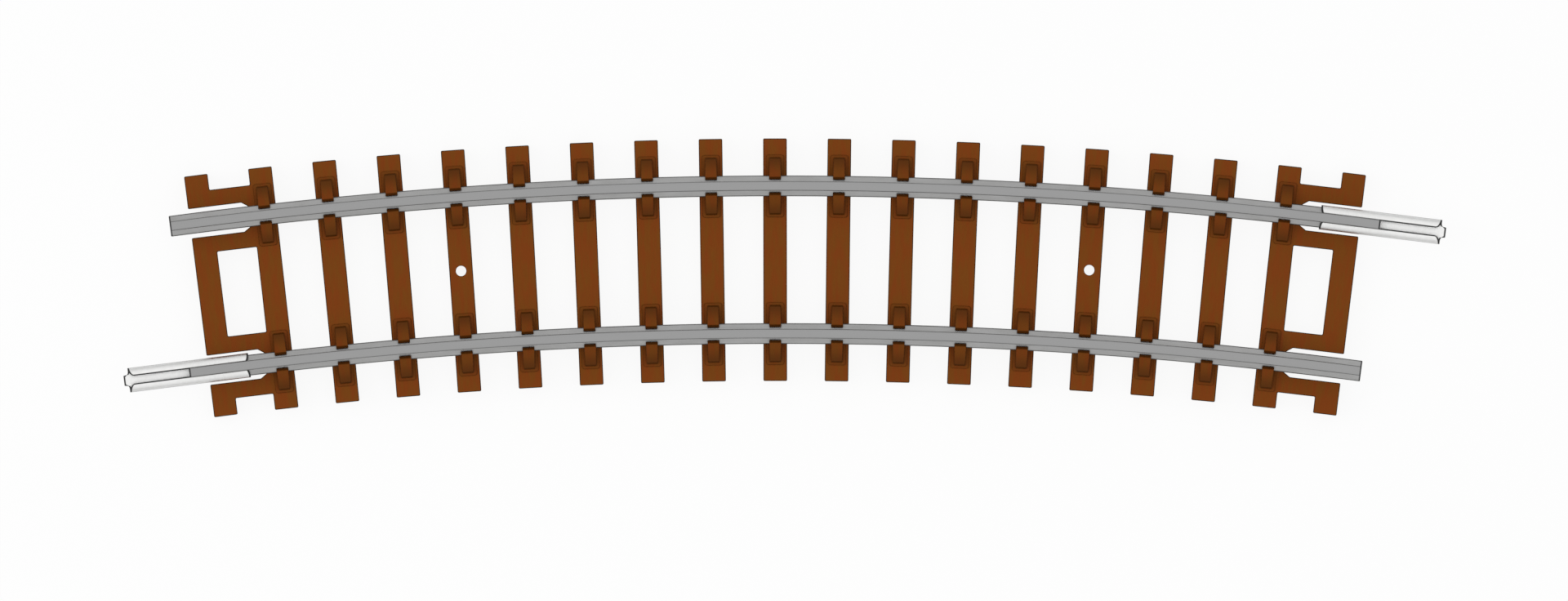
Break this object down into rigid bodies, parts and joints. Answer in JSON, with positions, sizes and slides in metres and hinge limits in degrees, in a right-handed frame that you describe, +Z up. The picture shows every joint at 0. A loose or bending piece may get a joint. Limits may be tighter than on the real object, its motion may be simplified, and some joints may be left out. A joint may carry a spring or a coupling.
{
  "type": "model railway track section",
  "caption": "Curved set-track section for a model railway: two metal rails held by clips on a moulded sleeper base, with sliding sheet joiners at opposite rail ends.",
  "frame": {"origin": "underside of the middle sleeper, on the track's centre line", "axes": "+X along the chord of the curve, +Y away from the centre of the curve, +Z up"},
  "size_m": [0.1149, 0.0241, 0.0042],
  "materials": {
    "sleeper_plastic": "brown moulded polystyrene, fine matt texture",
    "rail_metal": "drawn nickel-silver rail, satin",
    "joiner_metal": "bright folded sheet"
  },
  "bodies": {
    "track": {"end_frame_left": "sleeper_plastic", "sleeper_03": "sleeper_plastic", "sleeper_04": "sleeper_plastic", "sleeper_05": "sleeper_plastic", "sleeper_06": "sleeper_plastic", "sleeper_07": "sleeper_plastic", "sleeper_08": "sleeper_plastic", "sleeper_09": "sleeper_plastic", "sleeper_10": "sleeper_plastic", "sleeper_11": "sleeper_plastic", "sleeper_12": "sleeper_plastic", "sleeper_13": "sleeper_plastic", "sleeper_14": "sleeper_plastic", "sleeper_15": "sleeper_plastic", "sleeper_16": "sleeper_plastic", "sleeper_17": "sleeper_plastic", "end_frame_right": "sleeper_plastic", "outer_rail": "rail_metal", "inner_rail": "rail_metal"},
    "left_joiner": {"joiner_left": "joiner_metal"},
    "right_joiner": {"joiner_right": "joiner_metal"}
  },
  "joints": [
    {"name": "left_joiner_slide", "type": "slide", "parent": "track", "child": "left_joiner", "axis": [-0.9923, -0.1238, 0], "range_m": [-0.00095, 0.005]},
    {"name": "right_joiner_slide", "type": "slide", "parent": "track", "child": "right_joiner", "axis": [0.9923, -0.1241, 0], "range_m": [-0.00095, 0.005]}
  ]
}
